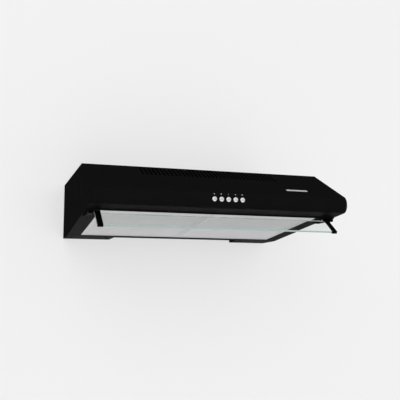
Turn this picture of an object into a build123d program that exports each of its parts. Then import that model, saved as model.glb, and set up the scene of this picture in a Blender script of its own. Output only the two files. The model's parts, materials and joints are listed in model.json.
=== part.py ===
from build123d import *
import os
from math import cos, radians, sin, tan

# Under-cabinet range hood, 600 mm wide, with a sloping glass visor.
#
# The origin is on the top face, at the axis of the round air outlet, which is also the middle of
# the four cabinet screws. +X runs along the hood to the right of someone standing in front of it,
# -Y is the front and +Z is up. Most sizes are depths in front of the wall and heights above the
# lower rear edge, and y_at and z_at turn them into Y and Z.

os.makedirs("parts", exist_ok=True)

# ---- Driving dimensions, mm ----
width = 600.0
body_height = 149.5
top_depth = 345.0
nose_depth = 505.7
sheet = 1.0

front_angle = 26.4  # fall of the front face below the horizontal
under_angle = 5.57  # rise of the underside towards the front
under_start = 85.0  # depth where the underside starts to rise

nose_upper_radius = 20.0
nose_lower_radius = 17.0
lip_depth = 443.5
lip_top = 32.0
lip_bottom = 28.8

flange = 34.0  # width of the lower flange, with the side sheet
opening_rear = 105.0
gland_x = 215.0
gland_height = 112.0
gland_radius = 8.0
gland_bore = 4.0
nut_radius = 12.0
nut_thick = 6.0
gland_nose_radius = 9.0
gland_nose_long = 9.0

recess_left = -172.0
recess_right = 190.0
recess_depth = 80.0
recess_height = 30.0
service_wall_depth = 98.0
service_wall_low = 2.6

outlet_radius = 60.0
collar_wall = 1.5
collar_height = 20.0
screw_span_x = 520.0
screw_span_y = 250.0
wall_screw_span = 400.0
wall_screw_height = 118.0
fixing_hole_radius = 3.0

stiffener_ends = 296.0
stiffener_depths = (48.0, 72.0)
stiffener_thick = 1.2
stiffener_top = 22.0
cover_lap = 20.0  # how far the front cover runs back under the top plate
fold_radius = 1.5

vent_count = 34
vent_pitch = 10.0
vent_slot_width = 4.0
vent_rear = 353.0
vent_front = 403.0

filter_rear = 107.5
filter_front = 414.0
filter_thick = 9.0
filter_gap = 0.75
filter_lift = 0.5
filter_skin = 0.8
filter_rail = 8.0
handle_depth = 373.0
handle_width = 82.0
handle_reach = 13.0
handle_wall = 2.0
latch_width = 40.0
latch_lift = 3.0
latch_thick = 2.5
latch_tab = 3.0
latch_gap = 0.3
handle_top = 8.6
tongue_offset = 80.0
tongue_half = 12.0
tongue_rear = 101.5
tongue_lift = 2.0
tongue_thick = 1.2

crossbar_rear = 415.0
crossbar_front = 442.4
crossbar_height = 16.0
lamp_x = 150.0
lamp_length = 120.0
lamp_reach = 16.0
lamp_rim = 2.0
lamp_lens_low = 0.6
lamp_housing_top = 12.0
lamp_strip_half = 4.0
lamp_strip_low = 8.4
crossbar_lip = 6.0

visor_axis_depth = 438.4
visor_axis_height = 25.2
visor_angle = 36.3  # fall of the open visor below the horizontal
visor_length = 57.5
glass_thick = 4.0
glass_top = 1.9  # outer face of the glass above the plane through the hinge axis
glass_start = 6.0
arm_inner = 270.0
arm_outer = 283.0
arm_thick = 1.2
arm_foot = 1.5
arm_hook = 6.0
glass_chamfer = 0.4
barrel_radius = 3.5
pin_radius = 1.75
running_gap = 0.05
hinge_block_inner = 284.5
hinge_block_outer = 297.0
hinge_block_rear = 361.0
hinge_block_low = 22.0
block_screw_depths = (376.0, 418.0)
screw_radius = 1.5
screw_head_radius = 3.4
screw_head_height = 1.6
screw_length = 6.0
screw_cross = (4.0, 0.8, 1.0)  # length, width and depth of the cross in a screw's head

button_names = ("light", "fan_off", "low_speed", "medium_speed", "high_speed")
button_middle = 4.3
button_pitch = 16.5
button_height = 56.0
button_radius = 5.5
button_proud = 1.8
button_gap = 0.3
button_dome = 1.6
cap_depth = 4.0  # how far a cap reaches into the switch block
stem_depth = 14.0
stem_radius = 2.5
switch_margin = 10.0
switch_heights = (46.2, 66.0)
bracket_thick = 1.2
bracket_foot = 35.2
switch_rear = 464.0
switch_front = 494.0

badge_x = 190.0
badge_length = 54.0
badge_breadth = 8.0
badge_depth = 466.0
badge_thick = 0.8

fan_axis_y = 4.0
fan_axis_z = -70.0
drum_radius = 56.0
drum_half_width = 58.0
drum_wall = 2.0
neck_radius = 58.0
inlet_radius = 37.0
wheel_radius = 42.0
wheel_inner = 33.0
wheel_half_width = 48.0
blade_count = 32
blade_lean = 28.0
blade_thick = 1.0
wheel_ring = 3.0
hub_radius = 9.0
hub_half = 12.0
ring_lip = 1.5
ring_reach = 6.0
shaft_radius = 4.0
motor_radius = 34.0
motor_near = 66.0
motor_far = 112.0
motor_chamfer = 3.0
shaft_chamfer = 0.5
bracket_hub_radius = 20.0
bracket_arm_width = 12.0
bracket_arm_thick = 2.0
bracket_foot_long = 6.0

capacitor_x = -190.0
capacitor_y = 20.0
capacitor_drop = 20.0
capacitor_radius = 15.0
capacitor_long = 58.0
clip_thick = 1.2
clip_width = 14.0
clip_foot = 50.0

box_xs = (170.0, 260.0)
box_heights = (90.0, 134.0)
box_front = 137.0
box_wall = 2.0
terminal_xs = (234.0, 254.0)
terminal_heights = (100.0, 112.0, 124.0)
terminal_front = 118.0
terminal_slot = 3.0

flap_height = 8.0
flap_pin_radius = 1.5
knuckle_radius = 2.6
flap_thick = 1.0
collar_flange = 8.0
flap_stop = 2.5

# ---- Worked-out values ----
half = width / 2
wall_y = top_depth / 2
floor_z = -body_height
inside = half - sheet
rise = tan(radians(under_angle))
under_cos = cos(radians(under_angle))
plate_bottom = body_height - sheet
flange_edge = half - flange


def y_at(depth):
    return wall_y - depth


def z_at(height):
    return floor_z + height


def underside(depth):
    """Height of the underside at a depth."""
    return max(0.0, (depth - under_start) * rise)


def front_face(depth):
    """Height of the sloping front face at a depth."""
    return body_height - (depth - top_depth) * tan(radians(front_angle))


def point(depth, height):
    """A point of a side profile, for sketches on Plane.YZ."""
    return (y_at(depth), z_at(height))


under = Plane(
    origin=(0, y_at(under_start), z_at(0)),
    x_dir=(1, 0, 0),
    z_dir=(0, sin(radians(under_angle)), cos(radians(under_angle))),
)
front = Plane(
    origin=(0, y_at(top_depth), 0),
    x_dir=(1, 0, 0),
    z_dir=(0, -sin(radians(front_angle)), cos(radians(front_angle))),
)
visor_plane = Plane(
    origin=(0, y_at(visor_axis_depth), z_at(visor_axis_height)),
    x_dir=(1, 0, 0),
    z_dir=(0, -sin(radians(visor_angle)), cos(radians(visor_angle))),
)


def middle(pair):
    return (pair[0] + pair[1]) / 2


def length(pair):
    return abs(pair[1] - pair[0])


def block(xs, depths, heights, mode=Mode.ADD):
    """A box between two x values, two depths and two heights."""
    with Locations((middle(xs), y_at(middle(depths)), z_at(middle(heights)))):
        Box(length(xs), length(depths), length(heights), mode=mode)


def under_block(xs, depths, rises, mode=Mode.ADD):
    """A box square to the underside, inside BuildPart(under)."""
    along = -(middle(depths) - under_start) / under_cos
    with Locations((middle(xs), along, middle(rises))):
        Box(length(xs), length(depths) / under_cos, length(rises), mode=mode)


def visor_block(xs, reaches, lifts, mode=Mode.ADD):
    """A box square to the visor, inside BuildPart(visor_plane): reach is from the hinge axis."""
    with Locations((middle(xs), -middle(reaches), middle(lifts))):
        Box(length(xs), length(reaches), length(lifts), mode=mode)


def mirrored(side, low, high):
    """An x range given for the right-hand side, turned over for the left."""
    return (low, high) if side == "right" else (-high, -low)


nose_top = (nose_depth, front_face(nose_depth))
nose_bottom = (nose_depth, lip_top + (nose_depth - lip_depth) * rise)

cabinet_holes = GridLocations(screw_span_x, screw_span_y, 2, 2)
block_screw_x = middle((hinge_block_inner, hinge_block_outer))
rear_plate_screw_x = (-285.0, -190.0, 205.0, 285.0)
rear_plate_screw_depth = 60.0

# ---- Top plate: outlet hole and four cabinet screw holes ----
with BuildPart() as top_plate:
    block((-inside, inside), (0, top_depth), (plate_bottom, body_height))
    with Locations((0, 0, -sheet / 2)):
        Cylinder(outlet_radius - collar_wall, 2 * sheet, mode=Mode.SUBTRACT)
    with Locations((0, 0, -sheet / 2)), cabinet_holes:
        Cylinder(fixing_hole_radius, 2 * sheet, mode=Mode.SUBTRACT)
top_plate.part.label = "top_plate"
export_step(top_plate.part, "parts/top_plate.step")

# ---- Rear panel: two wall screw holes, and a cut-out over the service recess ----
with BuildPart() as rear_panel:
    block((-inside, inside), (0, sheet), (0, plate_bottom))
    block((recess_left, recess_right), (-sheet, 2 * sheet), (-sheet, recess_height), Mode.SUBTRACT)
    with BuildSketch(Plane.XZ.offset(-wall_y)):
        with Locations((0, z_at(wall_screw_height))), GridLocations(wall_screw_span, 0, 2, 1):
            Circle(fixing_hole_radius)
    extrude(amount=sheet, mode=Mode.SUBTRACT)
rear_panel.part.label = "rear_panel"
export_step(rear_panel.part, "parts/rear_panel.step")

# ---- Rear bottom plate: a U round the service recess, bent up at its front edge ----
with BuildPart() as rear_bottom_plate:
    with BuildSketch(Plane.YZ.offset(-inside)):
        with BuildLine():
            Polyline(
                point(sheet, 0),
                point(under_start, 0),
                point(opening_rear, underside(opening_rear)),
                point(opening_rear, underside(opening_rear) + sheet),
                point(under_start, sheet),
                point(sheet, sheet),
                close=True,
            )
        make_face()
    extrude(amount=2 * inside)
    block((recess_left, recess_right), (-sheet, recess_depth), (-sheet, 2 * sheet), Mode.SUBTRACT)
    for screw_x in rear_plate_screw_x:
        with Locations((screw_x, y_at(rear_plate_screw_depth), z_at(sheet / 2))):
            Cylinder(screw_radius + 0.2, 2 * sheet, mode=Mode.SUBTRACT)
rear_bottom_plate.part.label = "rear_bottom_plate"
export_step(rear_bottom_plate.part, "parts/rear_bottom_plate.step")

# ---- Rear stiffener: an angle behind the tabs that the bottom screws bite into ----
for side, (low_x, high_x) in (
    ("left", (-stiffener_ends, recess_left - 2)),
    ("right", (recess_right + 2, stiffener_ends)),
):
    with BuildPart() as stiffener:
        block((low_x, high_x), stiffener_depths, (sheet, 3 * sheet))
        upright_depths = (stiffener_depths[1] - stiffener_thick, stiffener_depths[1])
        block((low_x, high_x), upright_depths, (3 * sheet, stiffener_top))
        for screw_x in rear_plate_screw_x:
            if low_x < screw_x < high_x:
                with Locations((screw_x, y_at(rear_plate_screw_depth), z_at(2 * sheet))):
                    Cylinder(screw_radius, 3 * sheet, mode=Mode.SUBTRACT)
    stiffener.part.label = f"{side}_rear_stiffener"
    export_step(stiffener.part, f"parts/{side}_rear_stiffener.step")

# ---- Screws of the rear bottom plate: pan heads below, threads up into the stiffeners ----
with BuildPart() as rear_plate_screws:
    for screw_x in rear_plate_screw_x:
        with Locations((screw_x, y_at(rear_plate_screw_depth), z_at(0))):
            Cylinder(screw_head_radius, screw_head_height, align=(Align.CENTER, Align.CENTER, Align.MAX))
            Cylinder(screw_radius, screw_length, align=(Align.CENTER, Align.CENTER, Align.MIN))
    fillet(rear_plate_screws.faces().sort_by(Axis.Z)[:4].edges(), 0.6)
    for screw_x in rear_plate_screw_x:
        with Locations((screw_x, y_at(rear_plate_screw_depth), z_at(-screw_head_height))):
            Box(screw_cross[0], screw_cross[1], 2 * screw_cross[2], mode=Mode.SUBTRACT)
            Box(screw_cross[1], screw_cross[0], 2 * screw_cross[2], mode=Mode.SUBTRACT)
rear_plate_screws.part.label = "rear_plate_screws"
export_step(rear_plate_screws.part, "parts/rear_plate_screws.step")

# ---- Side panels: the whole side profile, with a flange turned in along the underside ----
for side in ("left", "right"):
    outer_x = -half if side == "left" else inside
    with BuildPart() as side_panel:
        with BuildSketch(Plane.YZ.offset(outer_x)):
            with BuildLine():
                nose = FilletPolyline(
                    point(top_depth, body_height),
                    point(*nose_top),
                    point(*nose_bottom),
                    point(lip_depth, lip_top),
                    radius=(nose_upper_radius, nose_lower_radius),
                )
                Polyline(
                    nose @ 1,
                    point(lip_depth, underside(lip_depth)),
                    point(under_start, 0),
                    point(0, 0),
                    point(0, body_height),
                    nose @ 0,
                )
            make_face()
        extrude(amount=sheet)
    with BuildPart(under) as lower_flange:
        under_block(
            mirrored(side, flange_edge, inside), (opening_rear + 0.3, crossbar_front), (0, sheet)
        )
        for screw_depth in block_screw_depths:
            screw_x = middle(mirrored(side, hinge_block_inner, hinge_block_outer))
            with Locations((screw_x, -(screw_depth - under_start) / under_cos, 0)):
                Cylinder(screw_radius + 0.2, 4 * sheet, mode=Mode.SUBTRACT)
    with BuildPart() as joined_panel:
        add(side_panel.part)
        add(lower_flange.part)
    joined_panel.part.label = f"{side}_side_panel"
    export_step(joined_panel.part, f"parts/{side}_side_panel.step")

# ---- Front cover: one folded sheet from the top plate over the nose to the lip ----
with BuildPart() as front_cover:
    with BuildSketch(Plane.YZ.offset(-inside)):
        with BuildLine():
            FilletPolyline(
                point(top_depth - cover_lap, plate_bottom),
                point(top_depth + sheet / tan(radians(front_angle)), plate_bottom),
                point(*nose_top),
                point(*nose_bottom),
                point(lip_depth, lip_top),
                point(lip_depth, lip_bottom),
                radius=(fold_radius, nose_upper_radius, nose_lower_radius, fold_radius),
            )
            offset(amount=sheet, side=Side.LEFT)
        make_face()
    extrude(amount=2 * inside)
    with BuildSketch(front):
        slot_long = (vent_front - vent_rear) / cos(radians(front_angle))
        slot_away = (middle((vent_rear, vent_front)) - top_depth) / cos(radians(front_angle))
        with Locations((0, -slot_away)), GridLocations(vent_pitch, 0, vent_count, 1):
            SlotOverall(slot_long, vent_slot_width, rotation=90)
    extrude(amount=3 * sheet, both=True, mode=Mode.SUBTRACT)
    with BuildSketch(Plane.XZ.offset(-y_at(nose_depth - 8))):
        with Locations((button_middle, z_at(button_height))), GridLocations(button_pitch, 0, 5, 1):
            Circle(button_radius + button_gap)
    extrude(amount=12, mode=Mode.SUBTRACT)
front_cover.part.label = "front_cover"
export_step(front_cover.part, "parts/front_cover.step")

# ---- Blank trim plate on the front face ----
with BuildPart() as trim_plate:
    with BuildSketch(front):
        with Locations((badge_x, -(badge_depth - top_depth) / cos(radians(front_angle)))):
            RectangleRounded(badge_length, badge_breadth, 2)
    extrude(amount=badge_thick)
    fillet(trim_plate.faces().sort_by(Axis((0, 0, 0), front.z_dir))[-1].edges(), 0.3)
trim_plate.part.label = "trim_plate"
export_step(trim_plate.part, "parts/trim_plate.step")

# ---- Service wall: closes the air chamber off from the recess, pierced for the cable gland ----
with BuildPart() as service_wall:
    service_wall_depths = (service_wall_depth, service_wall_depth + sheet)
    block((-inside, inside), service_wall_depths, (service_wall_low, plate_bottom))
    with BuildSketch(Plane.XZ.offset(-y_at(service_wall_depth + 2))):
        with Locations((gland_x, z_at(gland_height))):
            Circle(gland_radius)
    extrude(amount=-4, mode=Mode.SUBTRACT)
service_wall.part.label = "service_wall"
export_step(service_wall.part, "parts/service_wall.step")

# ---- Front crossbar: an upward channel between the side panels, with two lamp windows ----
lamp_depth = middle((crossbar_rear, crossbar_front))
with BuildPart(under) as front_crossbar:
    crossbar_xs = (-inside + 0.3, inside - 0.3)
    under_block(crossbar_xs, (crossbar_rear, crossbar_front), (sheet, 2 * sheet))
    under_block(crossbar_xs, (crossbar_rear, crossbar_rear + sheet), (sheet, crossbar_height))
    under_block(crossbar_xs, (crossbar_front - sheet, crossbar_front), (sheet, crossbar_lip))
    for lamp_side in (-lamp_x, lamp_x):
        lamp_xs = (lamp_side - lamp_length / 2, lamp_side + lamp_length / 2)
        lamp_depths = (lamp_depth - lamp_reach / 2, lamp_depth + lamp_reach / 2)
        under_block(lamp_xs, lamp_depths, (0, 3 * sheet), Mode.SUBTRACT)
front_crossbar.part.label = "front_crossbar"
export_step(front_crossbar.part, "parts/front_crossbar.step")

# ---- Lamps: a lens seated in each window, under a housing with its light strip ----
for side in ("left", "right"):
    lamp_side = lamp_x if side == "right" else -lamp_x
    window_xs = (lamp_side - lamp_length / 2, lamp_side + lamp_length / 2)
    window_depths = (lamp_depth - lamp_reach / 2, lamp_depth + lamp_reach / 2)
    rim_xs = (window_xs[0] - lamp_rim, window_xs[1] + lamp_rim)
    rim_depths = (window_depths[0] - lamp_rim, window_depths[1] + lamp_rim)
    with BuildPart(under) as lamp_lens:
        under_block(
            (window_xs[0] + 0.2, window_xs[1] - 0.2),
            (window_depths[0] + 0.2, window_depths[1] - 0.2),
            (lamp_lens_low, 2 * sheet),
        )
        under_block(
            rim_xs,
            rim_depths,
            (2 * sheet, 3 * sheet),
        )
    lamp_lens.part.label = f"{side}_lamp_lens"
    export_step(lamp_lens.part, f"parts/{side}_lamp_lens.step")

    with BuildPart(under) as lamp_housing:
        under_block(
            rim_xs,
            rim_depths,
            (3 * sheet, lamp_housing_top),
        )
        under_block(window_xs, window_depths, (3 * sheet, lamp_housing_top - 2), Mode.SUBTRACT)
        strip_depths = (lamp_depth - lamp_strip_half, lamp_depth + lamp_strip_half)
        under_block(window_xs, strip_depths, (lamp_strip_low, lamp_housing_top - 2))
    lamp_housing.part.label = f"{side}_lamp_housing"
    export_step(lamp_housing.part, f"parts/{side}_lamp_housing.step")

# ---- Grease filters: channel frame, mesh pad, finger recess and sprung latch, one set a side ----
filter_low = filter_lift
filter_high = filter_lift + filter_thick
handle_depths = (handle_depth - handle_reach / 2, handle_depth + handle_reach / 2)
tab_front = handle_depths[1]
for side in ("left", "right"):
    outer_xs = mirrored(side, filter_gap, flange_edge - filter_gap)
    rail_xs = (outer_xs[0] + filter_rail, outer_xs[1] - filter_rail)
    skin_xs = (outer_xs[0] + filter_skin, outer_xs[1] - filter_skin)
    filter_x = middle(outer_xs)
    cup_xs = (filter_x - handle_width / 2 - handle_wall, filter_x + handle_width / 2 + handle_wall)
    cup_depths = (handle_depths[0] - handle_wall, handle_depths[1] + handle_wall)
    latch_xs = (filter_x - latch_width / 2, filter_x + latch_width / 2)
    slot_xs = (latch_xs[0] - latch_gap, latch_xs[1] + latch_gap)
    slot_lifts = (latch_lift - latch_gap, latch_lift + latch_thick + latch_gap)

    with BuildPart(under) as filter_frame:
        under_block(outer_xs, (filter_rear, filter_front), (filter_low, filter_high))
        under_block(
            skin_xs,
            (filter_rear + filter_skin, filter_front - filter_skin),
            (filter_low + filter_skin, filter_high - filter_skin),
            Mode.SUBTRACT,
        )
        under_block(
            rail_xs,
            (filter_rear + filter_rail, filter_front - filter_rail),
            (filter_low - 1, filter_high + 1),
            Mode.SUBTRACT,
        )
        for tongue_x in (filter_x - tongue_offset, filter_x + tongue_offset):
            tongue_xs = (tongue_x - tongue_half, tongue_x + tongue_half)
            under_block(tongue_xs, (tongue_rear, filter_rear), (tongue_lift, tongue_lift + tongue_thick))
        under_block(slot_xs, (filter_front - 2 * filter_skin, filter_front + 1), slot_lifts, Mode.SUBTRACT)
    filter_frame.part.label = f"{side}_filter_frame"
    export_step(filter_frame.part, f"parts/{side}_filter_frame.step")

    with BuildPart(under) as filter_pad:
        under_block(
            (skin_xs[0] + 0.3, skin_xs[1] - 0.3),
            (filter_rear + filter_skin + 0.3, filter_front - filter_skin - 0.3),
            (filter_low + filter_skin + 0.1, filter_high - filter_skin - 0.1),
        )
        under_block(
            (cup_xs[0] - 0.3, cup_xs[1] + 0.3),
            (cup_depths[0] - 0.3, cup_depths[1] + 0.3),
            (0, filter_high),
            Mode.SUBTRACT,
        )
        under_block(
            (slot_xs[0] - latch_gap, slot_xs[1] + latch_gap),
            (handle_depth, filter_front),
            (slot_lifts[0] - latch_gap, slot_lifts[1] + latch_gap),
            Mode.SUBTRACT,
        )
    filter_pad.part.label = f"{side}_filter_pad"
    export_step(filter_pad.part, f"parts/{side}_filter_pad.step")

    with BuildPart(under) as filter_handle:
        under_block(cup_xs, cup_depths, (filter_low, handle_top))
        finger_xs = (filter_x - handle_width / 2, filter_x + handle_width / 2)
        under_block(finger_xs, handle_depths, (0, handle_top - 1.2), Mode.SUBTRACT)
        under_block(slot_xs, (tab_front - 1, cup_depths[1] + 1), slot_lifts, Mode.SUBTRACT)
    filter_handle.part.label = f"{side}_filter_handle"
    export_step(filter_handle.part, f"parts/{side}_filter_handle.step")

    with BuildPart(under) as filter_latch:
        tab_depths = (tab_front - latch_tab - 0.4, tab_front - 0.4)
        under_block(latch_xs, (tab_depths[0], filter_front + 0.6), (latch_lift, latch_lift + latch_thick))
        under_block(latch_xs, tab_depths, (1.0, latch_lift))
    filter_latch.part.label = f"{side}_filter_latch"
    export_step(filter_latch.part, f"parts/{side}_filter_latch.step")

# ---- Visor: glass pane, a black end arm each side, and their hinge pins and blocks ----
with BuildPart(visor_plane) as visor_glass:
    glass_reaches = (glass_start, visor_length - arm_foot)
    visor_block((-arm_outer, arm_outer), glass_reaches, (glass_top - glass_thick, glass_top))
    chamfer(visor_glass.edges().filter_by(Axis.X), glass_chamfer)
visor_glass.part.label = "visor_glass"
export_step(visor_glass.part, "parts/visor_glass.step")

for side in ("left", "right"):
    arm_xs = mirrored(side, arm_inner, arm_outer)
    with BuildPart(visor_plane) as visor_arm:
        visor_block(arm_xs, (0, visor_length), (glass_top, glass_top + arm_thick))
        foot_reaches = (visor_length - arm_foot, visor_length)
        visor_block(arm_xs, foot_reaches, (glass_top - glass_thick - 1, glass_top + arm_thick))
        hook_reaches = (visor_length - arm_hook, visor_length)
        visor_block(arm_xs, hook_reaches, (glass_top - glass_thick - 1, glass_top - glass_thick))
        with Locations((middle(arm_xs), 0, 0)):
            Cylinder(barrel_radius, length(arm_xs), rotation=(0, 90, 0))
            Cylinder(pin_radius + running_gap, length(arm_xs) + 2, rotation=(0, 90, 0), mode=Mode.SUBTRACT)
    visor_arm.part.label = f"{side}_visor_arm"
    export_step(visor_arm.part, f"parts/{side}_visor_arm.step")

    block_xs = mirrored(side, hinge_block_inner, hinge_block_outer)
    with BuildPart() as hinge_block:
        with BuildSketch(Plane.YZ.offset(block_xs[0])):
            with BuildLine():
                Polyline(
                    point(hinge_block_rear, underside(hinge_block_rear)),
                    point(hinge_block_rear + 5, hinge_block_low),
                    point(crossbar_front, hinge_block_low),
                    point(crossbar_front, underside(crossbar_front)),
                    close=True,
                )
            make_face()
        extrude(amount=length(block_xs))
        with Locations((middle(block_xs), y_at(visor_axis_depth), z_at(visor_axis_height))):
            Cylinder(pin_radius, length(block_xs) + 2, rotation=(0, 90, 0), mode=Mode.SUBTRACT)
        for screw_depth in block_screw_depths:
            with Locations((middle(block_xs), y_at(screw_depth), z_at(hinge_block_low))):
                Cylinder(screw_radius, 4 * screw_length, mode=Mode.SUBTRACT)
                Cylinder(screw_head_radius + 0.3, 2 * screw_head_height, mode=Mode.SUBTRACT)
    hinge_block.part.label = f"{side}_hinge_block"
    export_step(hinge_block.part, f"parts/{side}_hinge_block.step")

    pin_xs = mirrored(side, arm_inner - 1.5, hinge_block_outer)
    with BuildPart() as hinge_pin:
        with Locations((middle(pin_xs), y_at(visor_axis_depth), z_at(visor_axis_height))):
            Cylinder(pin_radius, length(pin_xs), rotation=(0, 90, 0))
        chamfer(hinge_pin.edges(), 0.3)
    hinge_pin.part.label = f"{side}_hinge_pin"
    export_step(hinge_pin.part, f"parts/{side}_hinge_pin.step")

# ---- Screws of the hinge blocks, sunk in the blocks and biting into the flanges ----
with BuildPart() as hinge_block_screws:
    for screw_x in (-block_screw_x, block_screw_x):
        for screw_depth in block_screw_depths:
            with Locations((screw_x, y_at(screw_depth), z_at(hinge_block_low))):
                Cylinder(screw_head_radius, screw_head_height, align=(Align.CENTER, Align.CENTER, Align.MIN))
            with Locations((screw_x, y_at(screw_depth), z_at(hinge_block_low + screw_head_height))):
                Cylinder(
                    screw_radius,
                    underside(screw_depth) - hinge_block_low - screw_head_height + 0.5,
                    align=(Align.CENTER, Align.CENTER, Align.MIN),
                )
            with Locations((screw_x, y_at(screw_depth), z_at(hinge_block_low))):
                Box(screw_cross[0], screw_cross[1], 2 * screw_cross[2], mode=Mode.SUBTRACT)
                Box(screw_cross[1], screw_cross[0], 2 * screw_cross[2], mode=Mode.SUBTRACT)
hinge_block_screws.part.label = "hinge_block_screws"
export_step(hinge_block_screws.part, "parts/hinge_block_screws.step")

# ---- Push buttons: a domed cap and a stem each, sliding in the switch block ----
button_xs = [button_middle + (index - 2) * button_pitch for index in range(len(button_names))]
cap_rear = switch_front - cap_depth
cap_front = nose_depth + button_proud
stem_rear = switch_front - stem_depth
switch_xs = (button_xs[0] - switch_margin, button_xs[-1] + switch_margin)
for button_name, button_x in zip(button_names, button_xs):
    with BuildPart() as button:
        with BuildSketch(Plane.XZ.offset(-y_at(cap_rear))):
            with Locations((button_x, z_at(button_height))):
                Circle(button_radius)
        extrude(amount=cap_front - cap_rear)
        fillet(button.edges().group_by(Axis.Y)[0], button_dome)
        with BuildSketch(Plane.XZ.offset(-y_at(cap_rear))):
            with Locations((button_x, z_at(button_height))):
                Circle(stem_radius)
        extrude(amount=stem_rear - cap_rear)
    button.part.label = f"{button_name}_button"
    export_step(button.part, f"parts/{button_name}_button.step")

with BuildPart() as switch_block:
    block(switch_xs, (switch_rear, switch_front), switch_heights)
    with BuildSketch(Plane.XZ.offset(-y_at(switch_front))):
        with Locations((button_middle, z_at(button_height))), GridLocations(button_pitch, 0, 5, 1):
            Circle(button_radius + button_gap)
    extrude(amount=-cap_depth - 5, mode=Mode.SUBTRACT)
    with BuildSketch(Plane.XZ.offset(-y_at(switch_front))):
        with Locations((button_middle, z_at(button_height))), GridLocations(button_pitch, 0, 5, 1):
            Circle(stem_radius + button_gap)
    extrude(amount=-stem_depth - 6, mode=Mode.SUBTRACT)
switch_block.part.label = "switch_block"
export_step(switch_block.part, "parts/switch_block.step")

with BuildPart() as switch_bracket:
    shelf_heights = (switch_heights[0] - bracket_thick, switch_heights[0])
    block(switch_xs, (switch_rear, switch_front), shelf_heights)
    block(switch_xs, (switch_rear - bracket_thick, switch_rear), (bracket_foot, switch_heights[1]))
switch_bracket.part.label = "switch_bracket"
export_step(switch_bracket.part, "parts/switch_bracket.step")

# ---- Fan housing: a drum across the hood with a round neck up to the outlet, in two halves ----
neck_top = -sheet
fan_centre = (0, fan_axis_y, fan_axis_z)
for side in ("left", "right"):
    half_xs = mirrored(side, 0.05, drum_half_width)
    with BuildPart() as fan_housing:
        with Locations(fan_centre):
            Cylinder(drum_radius, 2 * drum_half_width, rotation=(0, 90, 0))
        with Locations((0, 0, neck_top)):
            Cylinder(neck_radius, -fan_axis_z - sheet, align=(Align.CENTER, Align.CENTER, Align.MAX))
        with Locations(fan_centre):
            Cylinder(
                drum_radius - drum_wall,
                2 * (drum_half_width - drum_wall),
                rotation=(0, 90, 0),
                mode=Mode.SUBTRACT,
            )
        with Locations((0, 0, neck_top)):
            Cylinder(
                neck_radius - drum_wall,
                -fan_axis_z - sheet,
                align=(Align.CENTER, Align.CENTER, Align.MAX),
                mode=Mode.SUBTRACT,
            )
        with Locations(fan_centre):
            Cylinder(inlet_radius + wheel_ring, 4 * drum_half_width, rotation=(0, 90, 0), mode=Mode.SUBTRACT)
        with Locations((middle(half_xs), 0, fan_axis_z)):
            Box(length(half_xs), 4 * drum_radius, 4 * drum_radius, mode=Mode.INTERSECT)
    fan_housing.part.label = f"{side}_fan_housing"
    export_step(fan_housing.part, f"parts/{side}_fan_housing.step")

    outward = 1 if side == "right" else -1
    with BuildPart() as inlet_ring:
        with BuildSketch(Plane.YZ.offset(outward * drum_half_width)):
            with Locations((fan_axis_y, fan_axis_z)):
                Circle(inlet_radius + ring_reach)
                Circle(inlet_radius, mode=Mode.SUBTRACT)
        extrude(amount=outward * ring_lip)
        with BuildSketch(Plane.YZ.offset(outward * drum_half_width)):
            with Locations((fan_axis_y, fan_axis_z)):
                Circle(inlet_radius + 2)
                Circle(inlet_radius, mode=Mode.SUBTRACT)
        extrude(amount=-outward * ring_reach)
    inlet_ring.part.label = f"{side}_inlet_ring"
    export_step(inlet_ring.part, f"parts/{side}_inlet_ring.step")

# ---- Fan wheel: a middle disc with leaning blades on both faces, end rings and a hub ----
with BuildPart() as fan_wheel:
    with BuildSketch(Plane.YZ.offset(-0.8)):
        with Locations((fan_axis_y, fan_axis_z)):
            Circle(wheel_radius)
    extrude(amount=1.6)
    for end_x in (-wheel_half_width, wheel_half_width - wheel_ring):
        with BuildSketch(Plane.YZ.offset(end_x)):
            with Locations((fan_axis_y, fan_axis_z)):
                Circle(wheel_radius)
                Circle(wheel_radius - wheel_ring, mode=Mode.SUBTRACT)
        extrude(amount=wheel_ring)
    with BuildSketch(Plane.YZ.offset(-wheel_half_width)):
        with Locations((fan_axis_y, fan_axis_z)):
            with PolarLocations((wheel_radius + wheel_inner) / 2 - 0.3, blade_count):
                Rectangle(wheel_radius - wheel_inner + 0.2, blade_thick, rotation=blade_lean)
    extrude(amount=2 * wheel_half_width)
    with BuildSketch(Plane.YZ.offset(-hub_half)):
        with Locations((fan_axis_y, fan_axis_z)):
            Circle(hub_radius)
    extrude(amount=2 * hub_half)
    with Locations(fan_centre):
        Cylinder(shaft_radius, 4 * hub_half, rotation=(0, 90, 0), mode=Mode.SUBTRACT)
fan_wheel.part.label = "fan_wheel"
export_step(fan_wheel.part, "parts/fan_wheel.step")

shaft_xs = (-motor_far - 3, hub_half + 2)
with BuildPart() as motor_shaft:
    with Locations((middle(shaft_xs), fan_axis_y, fan_axis_z)):
        Cylinder(shaft_radius, length(shaft_xs), rotation=(0, 90, 0))
    chamfer(motor_shaft.edges(), shaft_chamfer)
motor_shaft.part.label = "motor_shaft"
export_step(motor_shaft.part, "parts/motor_shaft.step")

# ---- Motor, and the three-armed bracket that holds it to the left end of the drum ----
with BuildPart() as motor:
    with Locations((-(motor_near + motor_far) / 2, fan_axis_y, fan_axis_z)):
        Cylinder(motor_radius, motor_far - motor_near, rotation=(0, 90, 0))
    chamfer(motor.edges(), motor_chamfer)
    with Locations((-(motor_near + motor_far) / 2, fan_axis_y, fan_axis_z)):
        Cylinder(shaft_radius + running_gap, motor_far, rotation=(0, 90, 0), mode=Mode.SUBTRACT)
motor.part.label = "motor"
export_step(motor.part, "parts/motor.step")

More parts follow.
